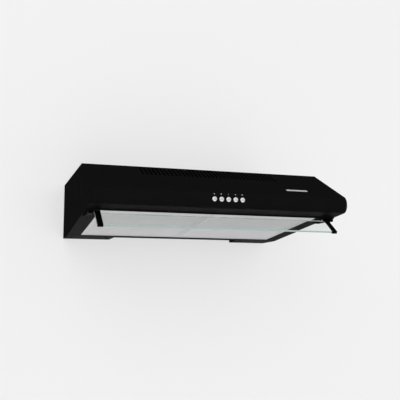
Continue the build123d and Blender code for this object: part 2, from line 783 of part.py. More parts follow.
arm_reach = drum_radius - 4
with BuildPart() as motor_bracket:
    with BuildSketch(Plane.YZ.offset(-motor_near)):
        with Locations((fan_axis_y, fan_axis_z)):
            Circle(bracket_hub_radius)
            with PolarLocations((arm_reach + bracket_arm_width) / 2, 3, start_angle=30):
                Rectangle(arm_reach - bracket_arm_width, bracket_arm_width)
            Circle(shaft_radius + 2, mode=Mode.SUBTRACT)
    extrude(amount=bracket_arm_thick)
    with BuildSketch(Plane.YZ.offset(-drum_half_width)):
        with Locations((fan_axis_y, fan_axis_z)):
            with PolarLocations(arm_reach - bracket_foot_long / 2, 3, start_angle=30):
                Rectangle(bracket_foot_long, bracket_arm_width)
    extrude(amount=drum_half_width - motor_near)
motor_bracket.part.label = "motor_bracket"
export_step(motor_bracket.part, "parts/motor_bracket.step")

# ---- Run capacitor and its clip, hung from the top plate ----
capacitor_centre = (capacitor_x, capacitor_y, -sheet - capacitor_drop)
with BuildPart() as capacitor:
    with Locations(capacitor_centre):
        Cylinder(capacitor_radius, capacitor_long, rotation=(0, 90, 0))
    fillet(capacitor.edges().group_by(Axis.X)[0], 2)
capacitor.part.label = "capacitor"
export_step(capacitor.part, "parts/capacitor.step")

with BuildPart() as capacitor_clip:
    with Locations(capacitor_centre):
        Cylinder(capacitor_radius + clip_thick, clip_width, rotation=(0, 90, 0))
    with Locations((capacitor_x, capacitor_y, -sheet)):
        Box(clip_width, clip_foot, 4, align=(Align.CENTER, Align.CENTER, Align.MAX))
    with Locations(capacitor_centre):
        Cylinder(capacitor_radius, 2 * clip_width, rotation=(0, 90, 0), mode=Mode.SUBTRACT)
capacitor_clip.part.label = "capacitor_clip"
export_step(capacitor_clip.part, "parts/capacitor_clip.step")

# ---- Terminal box on the service wall, its block, lid and cable gland ----
box_depths = (service_wall_depth + sheet, box_front)
with BuildPart() as terminal_box:
    block(box_xs, box_depths, box_heights)
    block(
        (box_xs[0] + box_wall, box_xs[1] - box_wall),
        (box_depths[0] + box_wall, box_front + 1),
        (box_heights[0] + box_wall, box_heights[1] - box_wall),
        Mode.SUBTRACT,
    )
    with BuildSketch(Plane.XZ.offset(-y_at(service_wall_depth + 4))):
        with Locations((gland_x, z_at(gland_height))):
            Circle(gland_radius)
    extrude(amount=-6, mode=Mode.SUBTRACT)
terminal_box.part.label = "terminal_box"
export_step(terminal_box.part, "parts/terminal_box.step")

with BuildPart() as terminal_lid:
    block(box_xs, (box_front, box_front + box_wall), box_heights)
    fillet(terminal_lid.edges().filter_by(Axis.Y), 3)
terminal_lid.part.label = "terminal_lid"
export_step(terminal_lid.part, "parts/terminal_lid.step")

with BuildPart() as terminal_block:
    block_heights = (box_heights[0] + 2 * box_wall, box_heights[1] - 2 * box_wall)
    block(terminal_xs, (box_depths[0] + box_wall, terminal_front), block_heights)
    for terminal_height in terminal_heights:
        slot_heights = (terminal_height - terminal_slot, terminal_height + terminal_slot)
        slot_ends = (terminal_xs[0] - 1, terminal_xs[1] + 1)
        slot_depths = (terminal_front - 2 * terminal_slot, terminal_front + 1)
        block(slot_ends, slot_depths, slot_heights, Mode.SUBTRACT)
terminal_block.part.label = "terminal_block"
export_step(terminal_block.part, "parts/terminal_block.step")

gland_plane = Plane.XZ.offset(-y_at(service_wall_depth))
with BuildPart() as cable_gland:
    with BuildSketch(gland_plane):
        with Locations((gland_x, z_at(gland_height))):
            Circle(nut_radius)
    extrude(amount=-nut_thick)
    with BuildSketch(Plane.XZ.offset(-y_at(service_wall_depth - nut_thick))):
        with Locations((gland_x, z_at(gland_height))):
            Circle(gland_nose_radius)
    extrude(amount=-gland_nose_long, taper=12)
    with BuildSketch(gland_plane):
        with Locations((gland_x, z_at(gland_height))):
            Circle(gland_radius)
    extrude(amount=8)
    with BuildSketch(Plane.XZ.offset(-y_at(service_wall_depth + 9))):
        with Locations((gland_x, z_at(gland_height))):
            Circle(gland_bore)
    extrude(amount=-30, mode=Mode.SUBTRACT)
cable_gland.part.label = "cable_gland"
export_step(cable_gland.part, "parts/cable_gland.step")

# ---- Outlet collar on the top plate, and the two-leaf non-return flap across it ----
flap_radius = outlet_radius - collar_wall - 1.0
with BuildPart() as outlet_collar:
    with BuildSketch(Plane.XY):
        Circle(outlet_radius + collar_flange)
        Circle(outlet_radius - collar_wall, mode=Mode.SUBTRACT)
    extrude(amount=collar_wall)
    with BuildSketch(Plane.XY):
        Circle(outlet_radius)
        Circle(outlet_radius - collar_wall, mode=Mode.SUBTRACT)
    extrude(amount=collar_height)
    with BuildSketch(Plane.XY.offset(flap_height - 1.7)):
        Circle(outlet_radius - collar_wall)
        Circle(outlet_radius - collar_wall - flap_stop, mode=Mode.SUBTRACT)
    extrude(amount=0.9)
    with Locations((0, 0, flap_height)):
        Cylinder(flap_pin_radius, 2 * outlet_radius - 1, rotation=(0, 90, 0), mode=Mode.SUBTRACT)
outlet_collar.part.label = "outlet_collar"
export_step(outlet_collar.part, "parts/outlet_collar.step")

with BuildPart() as flap_pin:
    with Locations((0, 0, flap_height)):
        Cylinder(flap_pin_radius, 2 * outlet_radius - 1, rotation=(0, 90, 0))
flap_pin.part.label = "flap_pin"
export_step(flap_pin.part, "parts/flap_pin.step")

knuckle_rows = {"front": ((-45, -27), (27, 45)), "rear": ((-24, -3), (3, 24))}
for flap_name, knuckles in knuckle_rows.items():
    facing = -1 if flap_name == "front" else 1
    with BuildPart() as flap:
        with BuildSketch(Plane.XY.offset(flap_height - flap_thick / 2)):
            Circle(flap_radius)
            with Locations((0, facing * (3.2 - flap_radius))):
                Rectangle(2 * flap_radius, 2 * flap_radius, mode=Mode.SUBTRACT)
        extrude(amount=flap_thick)
        for knuckle in knuckles:
            with Locations((middle(knuckle), 0, flap_height)):
                Cylinder(knuckle_radius, length(knuckle), rotation=(0, 90, 0))
            with Locations((middle(knuckle), facing * 2.5, flap_height)):
                Box(length(knuckle), 3, flap_thick)
        with Locations((0, 0, flap_height)):
            Cylinder(
                flap_pin_radius + running_gap, 2 * outlet_radius, rotation=(0, 90, 0), mode=Mode.SUBTRACT
            )
    flap.part.label = f"{flap_name}_flap"
    export_step(flap.part, f"parts/{flap_name}_flap.step")
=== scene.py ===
import json
import math

import bpy
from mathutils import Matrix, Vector


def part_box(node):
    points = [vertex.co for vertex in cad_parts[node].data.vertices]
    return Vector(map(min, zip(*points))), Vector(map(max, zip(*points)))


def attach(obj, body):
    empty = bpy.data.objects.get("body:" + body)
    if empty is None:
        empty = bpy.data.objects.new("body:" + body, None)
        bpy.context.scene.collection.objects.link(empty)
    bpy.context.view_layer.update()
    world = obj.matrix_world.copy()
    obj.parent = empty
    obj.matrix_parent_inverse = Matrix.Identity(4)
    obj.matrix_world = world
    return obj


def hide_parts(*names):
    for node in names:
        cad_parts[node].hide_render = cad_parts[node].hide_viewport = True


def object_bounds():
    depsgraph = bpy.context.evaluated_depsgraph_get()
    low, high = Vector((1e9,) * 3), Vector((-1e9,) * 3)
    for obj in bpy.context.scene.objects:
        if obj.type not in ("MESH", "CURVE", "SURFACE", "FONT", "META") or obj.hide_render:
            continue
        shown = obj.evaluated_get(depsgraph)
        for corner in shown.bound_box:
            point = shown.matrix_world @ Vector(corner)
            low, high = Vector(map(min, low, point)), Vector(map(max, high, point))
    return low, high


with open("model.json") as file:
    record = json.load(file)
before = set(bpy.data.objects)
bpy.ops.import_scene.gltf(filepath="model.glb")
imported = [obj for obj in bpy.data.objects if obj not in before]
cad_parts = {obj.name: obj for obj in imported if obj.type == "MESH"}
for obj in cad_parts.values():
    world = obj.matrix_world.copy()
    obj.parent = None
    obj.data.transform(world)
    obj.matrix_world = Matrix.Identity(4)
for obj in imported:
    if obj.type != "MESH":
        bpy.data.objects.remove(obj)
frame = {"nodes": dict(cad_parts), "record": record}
cadLow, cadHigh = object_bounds()
cadNodes = frame["nodes"]
bodyOf = {node: body for body, nodes in frame["record"]["behaviour"]["bodies"].items() for node in nodes}
print("frame loaded:", len(cadNodes), "nodes")

# camera first: low, a little to the left, looking slightly up at the front edge
viewpoint = {
    "place": (-0.50966, -1.73268, -0.29835),
    "towards": (0.30001, 0.94413, 0.13616),
    "lens": 61.03,
    "shiftX": 0.0025,
    "shiftY": -0.00125,
}
cameraData = bpy.data.cameras.new("studioCamera")
cameraData.lens = viewpoint["lens"]
cameraData.sensor_width = 36.0
cameraData.shift_x = viewpoint["shiftX"]
cameraData.shift_y = viewpoint["shiftY"]
camera = bpy.data.objects.new("studioCamera", cameraData)
bpy.context.scene.collection.objects.link(camera)
camera.location = viewpoint["place"]
camera.rotation_mode = "QUATERNION"
camera.rotation_quaternion = Vector(viewpoint["towards"]).to_track_quat("-Z", "Y")
bpy.context.scene.camera = camera
print("camera placed")

# helpers for modelling


def selectOnly(*pieces):
    if bpy.context.object and bpy.context.object.mode != "OBJECT":
        bpy.ops.object.mode_set(mode="OBJECT")
    bpy.ops.object.select_all(action="DESELECT")
    for piece in pieces:
        piece.select_set(True)
    bpy.context.view_layer.objects.active = pieces[0]


def applyPlace(piece):
    selectOnly(piece)
    bpy.ops.object.transform_apply(location=True, rotation=True, scale=True)


def applyModifiers(piece):
    selectOnly(piece)
    for modifier in list(piece.modifiers):
        bpy.ops.object.modifier_apply(modifier=modifier.name)


def bevelEdges(piece, width, segments=2, angle=35.0):
    bevel = piece.modifiers.new("softEdge", "BEVEL")
    bevel.width = width
    bevel.segments = segments
    bevel.limit_method = "ANGLE"
    bevel.angle_limit = math.radians(angle)
    applyModifiers(piece)


def smoothByAngle(piece, degrees=35):
    # rounds the shading over bevels and curves, and keeps the broad faces flat
    selectOnly(piece)
    bpy.ops.object.shade_smooth_by_angle(angle=math.radians(degrees))
    flatten = piece.modifiers.new("flatFaces", "WEIGHTED_NORMAL")
    flatten.keep_sharp = True
    flatten.weight = 100
    applyModifiers(piece)


def finishPiece(piece, name, body, slotName, *materials):
    applyPlace(piece)
    piece.name = name
    piece.data.name = name
    piece.data.materials.clear()
    for material in materials:
        piece.data.materials.append(material)
    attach(piece, body)
    return piece


# node groups that several finishes share


def startGroup(name, inputs, outputs):
    group = bpy.data.node_groups.new(name, "ShaderNodeTree")
    for label, kind, value in inputs:
        socket = group.interface.new_socket(name=label, in_out="INPUT", socket_type=kind)
        socket.default_value = value
    for label, kind in outputs:
        group.interface.new_socket(name=label, in_out="OUTPUT", socket_type=kind)
    return group, group.nodes.new("NodeGroupInput"), group.nodes.new("NodeGroupOutput")


def objectCoordinates(tree):
    return tree.nodes.new("ShaderNodeTexCoord").outputs["Object"]


def noise(tree, vector, scale, detail=3.0, roughness=0.55):
    texture = tree.nodes.new("ShaderNodeTexNoise")
    texture.inputs["Scale"].default_value = scale
    texture.inputs["Detail"].default_value = detail
    texture.inputs["Roughness"].default_value = roughness
    tree.links.new(vector, texture.inputs["Vector"])
    return texture.outputs["Fac"]


def remap(tree, value, low, high, newLow, newHigh):
    node = tree.nodes.new("ShaderNodeMapRange")
    node.inputs["From Min"].default_value = low
    node.inputs["From Max"].default_value = high
    node.inputs["To Min"].default_value = newLow
    node.inputs["To Max"].default_value = newHigh
    tree.links.new(value, node.inputs["Value"])
    return node.outputs["Result"]


def buildGrainGroup():
    group, inlet, outlet = startGroup(
        "surfaceGrain",
        [
            ("Scale", "NodeSocketFloat", 900.0),
            ("Rough Low", "NodeSocketFloat", 0.3),
            ("Rough High", "NodeSocketFloat", 0.5),
        ],
        [("Roughness", "NodeSocketFloat"), ("Height", "NodeSocketFloat"), ("Patches", "NodeSocketFloat")],
    )
    coordinates = objectCoordinates(group)
    fine = group.nodes.new("ShaderNodeTexNoise")
    fine.inputs["Detail"].default_value = 2.0
    group.links.new(coordinates, fine.inputs["Vector"])
    group.links.new(inlet.outputs["Scale"], fine.inputs["Scale"])
    patches = noise(group, coordinates, 14.0, 4.0)
    blend = group.nodes.new("ShaderNodeMapRange")
    blend.inputs["From Min"].default_value = 0.3
    blend.inputs["From Max"].default_value = 0.7
    group.links.new(patches, blend.inputs["Value"])
    group.links.new(inlet.outputs["Rough Low"], blend.inputs["To Min"])
    group.links.new(inlet.outputs["Rough High"], blend.inputs["To Max"])
    group.links.new(blend.outputs["Result"], outlet.inputs["Roughness"])
    group.links.new(fine.outputs["Fac"], outlet.inputs["Height"])
    group.links.new(patches, outlet.inputs["Patches"])
    return group


def buildBrushGroup():
    group, inlet, outlet = startGroup(
        "brushedLines",
        [("Stretch", "NodeSocketVector", (1.0, 1.0, 1.0)), ("Scale", "NodeSocketFloat", 400.0)],
        [("Lines", "NodeSocketFloat")],
    )
    scaled = group.nodes.new("ShaderNodeVectorMath")
    scaled.operation = "MULTIPLY"
    group.links.new(objectCoordinates(group), scaled.inputs[0])
    group.links.new(inlet.outputs["Stretch"], scaled.inputs[1])
    lines = group.nodes.new("ShaderNodeTexNoise")
    lines.inputs["Detail"].default_value = 4.0
    group.links.new(scaled.outputs["Vector"], lines.inputs["Vector"])
    group.links.new(inlet.outputs["Scale"], lines.inputs["Scale"])
    group.links.new(lines.outputs["Fac"], outlet.inputs["Lines"])
    return group


grainGroup = buildGrainGroup()
brushGroup = buildBrushGroup()


def startMaterial(name, metallic=0.0, roughness=0.5):
    material = bpy.data.materials.new(name)
    material.use_nodes = True
    tree = material.node_tree
    shader = tree.nodes["Principled BSDF"]
    shader.inputs["Metallic"].default_value = metallic
    shader.inputs["Roughness"].default_value = roughness
    return material, tree, shader


def addBump(tree, shader, height, strength, distance):
    bump = tree.nodes.new("ShaderNodeBump")
    bump.inputs["Strength"].default_value = strength
    bump.inputs["Distance"].default_value = distance
    tree.links.new(height, bump.inputs["Height"])
    tree.links.new(bump.outputs["Normal"], shader.inputs["Normal"])


def mixColours(tree, mask, first, second):
    mix = tree.nodes.new("ShaderNodeMix")
    mix.data_type = "RGBA"
    mix.inputs["A"].default_value = (*first, 1.0)
    mix.inputs["B"].default_value = (*second, 1.0)
    tree.links.new(mask, mix.inputs["Factor"])
    return mix.outputs["Result"]


def grainyFinish(
    name, dark, light, roughness, grainScale=900.0, bump=0.15, distance=0.0002, metallic=0.0, specular=0.5
):
    material, tree, shader = startMaterial(name, metallic)
    grain = tree.nodes.new("ShaderNodeGroup")
    grain.node_tree = grainGroup
    grain.inputs["Scale"].default_value = grainScale
    grain.inputs["Rough Low"].default_value = roughness[0]
    grain.inputs["Rough High"].default_value = roughness[1]
    tree.links.new(grain.outputs["Roughness"], shader.inputs["Roughness"])
    tree.links.new(mixColours(tree, grain.outputs["Patches"], dark, light), shader.inputs["Base Color"])
    shader.inputs["Specular IOR Level"].default_value = specular
    addBump(tree, shader, grain.outputs["Height"], bump, distance)
    return material


def brushedFinish(name, dark, light, stretch, scale=400.0, roughness=(0.25, 0.4), bump=0.2, metallic=1.0):
    material, tree, shader = startMaterial(name, metallic)
    brush = tree.nodes.new("ShaderNodeGroup")
    brush.node_tree = brushGroup
    brush.inputs["Stretch"].default_value = stretch
    brush.inputs["Scale"].default_value = scale
    tree.links.new(mixColours(tree, brush.outputs["Lines"], dark, light), shader.inputs["Base Color"])
    tree.links.new(remap(tree, brush.outputs["Lines"], 0.3, 0.7, *roughness), shader.inputs["Roughness"])
    addBump(tree, shader, brush.outputs["Lines"], bump, 0.0001)
    return material


finishes = {
    "black_paint": grainyFinish(
        "blackPowderCoat", (0.0044, 0.0044, 0.0047), (0.0058, 0.0058, 0.0062), roughness=(0.38, 0.5),
        grainScale=1400.0, bump=0.10, specular=0.004,
    ),
    "black_plastic": grainyFinish(
        "blackPlastic", (0.0015, 0.0015, 0.0015), (0.003, 0.003, 0.003), roughness=(0.42, 0.55),
        grainScale=1800.0, bump=0.2, specular=0.008,
    ),
    "grey_plastic": grainyFinish(
        "greyPlastic", (0.16, 0.16, 0.165), (0.21, 0.21, 0.215), roughness=(0.45, 0.6),
        grainScale=1500.0, bump=0.2,
    ),
    "white_plastic": grainyFinish(
        "whitePlastic", (0.70, 0.70, 0.67), (0.80, 0.80, 0.78), roughness=(0.35, 0.5),
        grainScale=1500.0, bump=0.12,
    ),
    "fan_plastic": grainyFinish(
        "fanPlastic", (0.05, 0.05, 0.052), (0.08, 0.08, 0.083), roughness=(0.4, 0.55),
        grainScale=1200.0, bump=0.2,
    ),
    "flap_plastic": grainyFinish(
        "flapPlastic", (0.34, 0.34, 0.33), (0.42, 0.42, 0.41), roughness=(0.4, 0.55),
        grainScale=1500.0, bump=0.15,
    ),
    "lamp_lens": grainyFinish(
        "frostedLens", (0.82, 0.82, 0.80), (0.9, 0.9, 0.88), roughness=(0.5, 0.65),
        grainScale=2400.0, bump=0.3,
    ),
    "zinc": grainyFinish(
        "zincPlate", (0.45, 0.46, 0.48), (0.62, 0.63, 0.64), roughness=(0.28, 0.45),
        grainScale=500.0, bump=0.08, metallic=1.0,
    ),
    "motor_metal": grainyFinish(
        "motorCan", (0.25, 0.25, 0.26), (0.36, 0.36, 0.37), roughness=(0.35, 0.5),
        grainScale=700.0, bump=0.1, metallic=0.9,
    ),
    "steel": brushedFinish("groundSteel", (0.5, 0.5, 0.5), (0.65, 0.65, 0.65), stretch=(0.05, 1.0, 1.0)),
    "silver_trim": brushedFinish(
        "brushedTrim", (0.70, 0.70, 0.71), (0.88, 0.88, 0.89), stretch=(0.04, 1.0, 1.0),
        scale=900.0, metallic=0.35,
    ),
    "filter_frame": brushedFinish(
        "millAluminium", (0.58, 0.58, 0.59), (0.70, 0.70, 0.71), stretch=(1.0, 0.06, 1.0),
        scale=500.0, roughness=(0.35, 0.5),
    ),
    "filter_handle": grainyFinish(
        "handlePlastic", (0.42, 0.42, 0.43), (0.5, 0.5, 0.51), roughness=(0.4, 0.55),
        grainScale=1500.0, bump=0.15,
    ),
    "filter_mesh": grainyFinish(
        "meshAluminium", (0.66, 0.66, 0.67), (0.78, 0.78, 0.79), roughness=(0.4, 0.55),
        grainScale=300.0, bump=0.1, metallic=0.9,
    ),
    "button_silver": brushedFinish(
        "satinChrome", (0.70, 0.70, 0.72), (0.80, 0.80, 0.82), stretch=(1.0, 1.0, 1.0),
        scale=900.0, roughness=(0.16, 0.24), bump=0.05,
    ),
}


def buildGlass():
    material, tree, shader = startMaterial("visorGlass", 0.0, 0.0)
    shader.inputs["Base Color"].default_value = (0.98, 1.0, 0.99, 1.0)
    shader.inputs["Transmission Weight"].default_value = 1.0
    shader.inputs["IOR"].default_value = 1.32
    smears = noise(tree, objectCoordinates(tree), 22.0, 5.0)
    tree.links.new(remap(tree, smears, 0.45, 0.75, 0.01, 0.06), shader.inputs["Roughness"])
    return material


def buildGlassEdge():
    material, tree, shader = startMaterial("visorGlassEdge", 0.0, 0.2)
    shader.inputs["Transmission Weight"].default_value = 0.35
    shader.inputs["IOR"].default_value = 1.5
    cloud = noise(tree, objectCoordinates(tree), 60.0, 3.0)
    green = mixColours(tree, cloud, (0.42, 0.60, 0.54), (0.55, 0.72, 0.66))
    tree.links.new(green, shader.inputs["Base Color"])
    return material


def buildLayersFinish():
    # pressed layers of the same mesh, too dense to model strand by strand; the cell centres are painted
    # darker as shade in the openings between strands
    material, tree, shader = startMaterial("filterLayers", 1.0, 0.45)
    cells = tree.nodes.new("ShaderNodeTexVoronoi")
    cells.feature = "DISTANCE_TO_EDGE"
    cells.inputs["Scale"].default_value = 260.0
    tree.links.new(objectCoordinates(tree), cells.inputs["Vector"])
    strandMaskAndGapShade = remap(tree, cells.outputs["Distance"], 0.02, 0.16, 1.0, 0.0)
    # painted shade: the colour darkens in the cell centres, where the openings between strands would lie in
    # shadow
    strandColourWithGapShade = mixColours(tree, strandMaskAndGapShade, (0.56, 0.56, 0.57), (0.82, 0.82, 0.83))
    tree.links.new(strandColourWithGapShade, shader.inputs["Base Color"])
    tree.links.new(remap(tree, strandMaskAndGapShade, 0.0, 1.0, 0.6, 0.38), shader.inputs["Roughness"])
    addBump(tree, shader, strandMaskAndGapShade, 0.5, 0.0006)
    return material


finishes["glass"] = buildGlass()
finishes["glass_edge"] = buildGlassEdge()
finishes["filter_layers"] = buildLayersFinish()
finishes["mark_ink"] = grainyFinish(
    "markInk", (0.55, 0.55, 0.55), (0.65, 0.65, 0.65), roughness=(0.5, 0.6), grainScale=1500.0, bump=0.05
)
print("finishes made:", len(finishes))

# CAD nodes take their slot's finish
for entry in frame["record"]["subparts"]:
    node = cadNodes[entry["node"]]
    node.data.materials.clear()
    node.data.materials.append(finishes[entry["material_slot"]])

# places that several pieces share, read from the frame
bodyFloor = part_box("rear_panel")[0].z
underside = {"bendY": 0.0875, "angle": math.radians(5.57)}  # where the underside starts to rise, and how much
buttonNames = ["light", "fan_off", "low_speed", "medium_speed", "high_speed"]


def underPoint(x, y, lift):
    # a point at a lift square to the sloping underside, straight above row place (x, y)
    along = (underside["bendY"] - y) / math.cos(underside["angle"])
    rise = along * math.sin(underside["angle"]) + lift * math.cos(underside["angle"])
    return Vector((x, y + lift * math.sin(underside["angle"]), bodyFloor + rise))


def layOnUnderside(piece, place):
    piece.rotation_euler = (-underside["angle"], 0, 0)
    piece.location = place
    applyPlace(piece)


def middleOf(node):
    low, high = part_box(node)
    return (low + high) / 2


# folded sheet and moulded parts: the CAD shape with its edges softened
edgeWidths = {
    "top_plate": 0.00025, "rear_panel": 0.00025, "rear_bottom_plate": 0.00025,
    "service_wall": 0.00025, "left_side_panel": 0.00035, "right_side_panel": 0.00035,
    "front_cover": 0.0003, "front_crossbar": 0.00025, "left_rear_stiffener": 0.0002,
    "right_rear_stiffener": 0.0002, "rear_plate_screws": 0.00015, "hinge_block_screws": 0.00015,
    "trim_plate": 0.00012, "left_lamp_housing": 0.0003, "right_lamp_housing": 0.0003,
    "left_filter_frame": 0.0003, "right_filter_frame": 0.0003, "left_filter_handle": 0.0004,
    "right_filter_handle": 0.0004, "left_filter_latch": 0.0004, "right_filter_latch": 0.0004,
    "left_visor_arm": 0.00035, "right_visor_arm": 0.00035, "left_hinge_block": 0.0006,
    "right_hinge_block": 0.0006, "left_hinge_pin": 0.0001, "right_hinge_pin": 0.0001,
    "switch_block": 0.0004, "switch_bracket": 0.0002, "left_fan_housing": 0.0003,
    "right_fan_housing": 0.0003, "left_inlet_ring": 0.0004, "right_inlet_ring": 0.0004,
    "motor_shaft": 0.0001, "motor_bracket": 0.0003, "capacitor_clip": 0.0002,
    "terminal_box": 0.0004, "terminal_block": 0.0003, "outlet_collar": 0.0003, "flap_pin": 0.0001,
    "front_flap": 0.00025, "rear_flap": 0.00025, "fan_wheel": 0.0001,
}
soften = {"weld": 0.000002, "flat": 0.4, "bevelAngle": 40, "segments": 2}  # metres and degrees


def softenNode(node, width):
    source = cadNodes[node]
    piece = bpy.data.objects.new(node + "_shell", source.data.copy())
    bpy.context.scene.collection.objects.link(piece)
    selectOnly(piece)
    bpy.ops.object.mode_set(mode="EDIT")
    bpy.ops.mesh.select_all(action="SELECT")
    bpy.ops.mesh.remove_doubles(threshold=soften["weld"])
    bpy.ops.mesh.dissolve_limited(angle_limit=math.radians(soften["flat"]))
    bpy.ops.object.mode_set(mode="OBJECT")
    bevel = piece.modifiers.new("softEdge", "BEVEL")
    bevel.width = width
    bevel.segments = soften["segments"]
    bevel.limit_method = "ANGLE"
    bevel.angle_limit = math.radians(soften["bevelAngle"])
    bevel.use_clamp_overlap = False
    applyModifiers(piece)
    smoothByAngle(piece)
    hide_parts(node)
    return piece


for entry in frame["record"]["subparts"]:
    node, slotName = entry["node"], entry["material_slot"]
    if node in edgeWidths:
        shell = softenNode(node, edgeWidths[node])
        finishPiece(shell, node + "_shell", bodyOf[node], slotName, finishes[slotName])
print("edges softened:", len(edgeWidths))

# tools for shaping a piece in edit mode


def editFaces(piece, wanted):
    # opens edit mode with only the faces that wanted(centre, normal) picks
    selectOnly(piece)
    bpy.ops.object.mode_set(mode="EDIT")
    bpy.ops.mesh.select_mode(type="FACE")
    bpy.ops.mesh.select_all(action="DESELECT")
    bpy.ops.object.mode_set(mode="OBJECT")
    for face in piece.data.polygons:
        face.select = wanted(face.center, face.normal)
    bpy.ops.object.mode_set(mode="EDIT")


def faceOutwards(piece):
    selectOnly(piece)
    bpy.ops.object.mode_set(mode="EDIT")
    bpy.ops.mesh.select_all(action="SELECT")
    bpy.ops.mesh.remove_doubles(threshold=0.000001)
    bpy.ops.mesh.normals_make_consistent(inside=False)
    bpy.ops.object.mode_set(mode="OBJECT")


def turnPiece(stations, place, turned=(0, 0, 0), sides=48):
    # a round piece, turned as on a lathe: a disc, extruded and resized from station to station
    height, radius = stations[0]
    bpy.ops.object.select_all(action="DESELECT")
    bpy.ops.mesh.primitive_circle_add(
        vertices=sides, radius=radius, fill_type="NGON", location=(0, 0, height)
    )
    piece = bpy.context.object
    applyPlace(piece)
    bpy.ops.object.mode_set(mode="EDIT")
    bpy.ops.mesh.select_all(action="SELECT")
    for newHeight, newRadius in stations[1:]:
        bpy.ops.mesh.extrude_region_move(TRANSFORM_OT_translate={"value": (0, 0, newHeight - height)})
        ratio = newRadius / radius
        bpy.ops.transform.resize(value=(ratio, ratio, 1.0), center_override=(0, 0, newHeight))
        height, radius = newHeight, newRadius
    bpy.ops.object.mode_set(mode="OBJECT")
    faceOutwards(piece)
    piece.rotation_euler = turned
    piece.location = place
    applyPlace(piece)
    return piece


def bevelledBox(low, high, width, segments=2):
    bpy.ops.object.select_all(action="DESELECT")
    bpy.ops.mesh.primitive_cube_add(size=1.0, location=(Vector(low) + Vector(high)) / 2)
    piece = bpy.context.object
    piece.scale = Vector(high) - Vector(low)
    applyPlace(piece)
    bevelEdges(piece, width, segments)
    return piece


def joinPieces(pieces):
    selectOnly(*pieces)
    bpy.ops.object.join()
    return bpy.context.object


towardsFront = (math.radians(90), 0, 0)  # turns a piece's own +Z to the row's -Y
towardsRight = (0, math.radians(90), 0)  # turns a piece's own +Z to the row's +X

# push buttons: satin chrome caps with a shouldered dome, on black plastic stems
button = {
    "stemRadius": 0.0025, "stemLong": 0.010, "stemTip": 0.0006, "tipRatio": 0.8,
    "rimIn": 0.0003, "rimLow": 0.0001, "rimHigh": 0.0004,
    "shoulderStart": 0.0016, "shoulderHigh": 0.0012, "shoulderIn": 0.0013, "shoulderSteps": 5,
    "face": ((0.0004, 0.70), (0.00025, 0.60), (0.0001, 0.42), (0.0, 0.15)),  # depth, part of the radius
    "edge": 0.00012, "smoothAngle": 40,
}


def makeButton(name):
    low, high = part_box(name + "_button")
    centre = (low + high) / 2
    radius = (high.x - low.x) / 2
    long = high.y - low.y
    stem, stemLong, turns = button["stemRadius"], button["stemLong"], button["shoulderSteps"]
    start = long - button["shoulderStart"]
    stations = [(0, stem * button["tipRatio"]), (button["stemTip"], stem), (stemLong, stem)]
    stations += [(stemLong + button["rimLow"], radius - button["rimIn"])]
    stations += [(stemLong + button["rimHigh"], radius), (start, radius)]
    for step in range(1, turns + 1):
        turn = math.radians(90 * step / turns)
        inwards = button["shoulderIn"] * (1 - math.cos(turn))
        stations.append((start + button["shoulderHigh"] * math.sin(turn), radius - inwards))
    stations += [(long - depth, radius * ratio) for depth, ratio in button["face"]]
    piece = turnPiece(stations, (centre.x, high.y, centre.z), towardsFront)
    bevelEdges(piece, button["edge"], 2, 50)
    smoothByAngle(piece, button["smoothAngle"])
    looks = (finishes["button_silver"], finishes["black_plastic"])
    finishPiece(piece, name + "_cap", name + "_key", "button_silver", *looks)
    stemEnd = high.y - button["stemLong"]
    for face in piece.data.polygons:
        face.material_index = 1 if face.center.y > stemEnd - 0.00005 else 0
    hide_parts(name + "_button")


for name in buttonNames:
    makeButton(name)

# a thin pale mark over each button: a lamp, a ring for off, and one to three bars for the speeds
mark = {
    "turn": math.radians(31.6), "noseRadius": 0.020, "noseHigh": 0.0573,
    "size": 0.0030, "line": 0.0005, "thick": 0.0002,
    "hub": 0.28, "hubLine": 0.27, "rays": 8, "rayReach": 0.46, "rayLine": 0.7, "rayLong": 1.6,
    "ring": 0.45, "barStep": 2.0, "barHigh": 0.85,
}
noseCentre = Vector((0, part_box("front_cover")[0].y + mark["noseRadius"], bodyFloor + mark["noseHigh"]))


def makeBar(x, width, height):
    bpy.ops.object.select_all(action="DESELECT")
    bpy.ops.mesh.primitive_plane_add(size=1.0, location=(x, 0, 0))
    bar = bpy.context.object
    bar.scale = (width, height, 1)
    applyPlace(bar)
    return bar


def makeRing(radius, line):
    bpy.ops.object.select_all(action="DESELECT")
    bpy.ops.mesh.primitive_circle_add(vertices=24, radius=radius, fill_type="NGON")
    ring = bpy.context.object
    bpy.ops.object.mode_set(mode="EDIT")
    bpy.ops.mesh.select_all(action="SELECT")
    bpy.ops.mesh.inset(thickness=line)
    bpy.ops.mesh.delete(type="FACE")
    bpy.ops.object.mode_set(mode="OBJECT")
    return ring


def makeRays(count, reach, line):
    rays = []
    for number in range(count):
        ray = makeBar(0, line, line * mark["rayLong"])
        turn = 2 * math.pi * number / count
        ray.rotation_euler = (0, 0, turn)
        ray.location = (-math.sin(turn) * reach, math.cos(turn) * reach, 0)
        applyPlace(ray)
        rays.append(ray)
    return rays


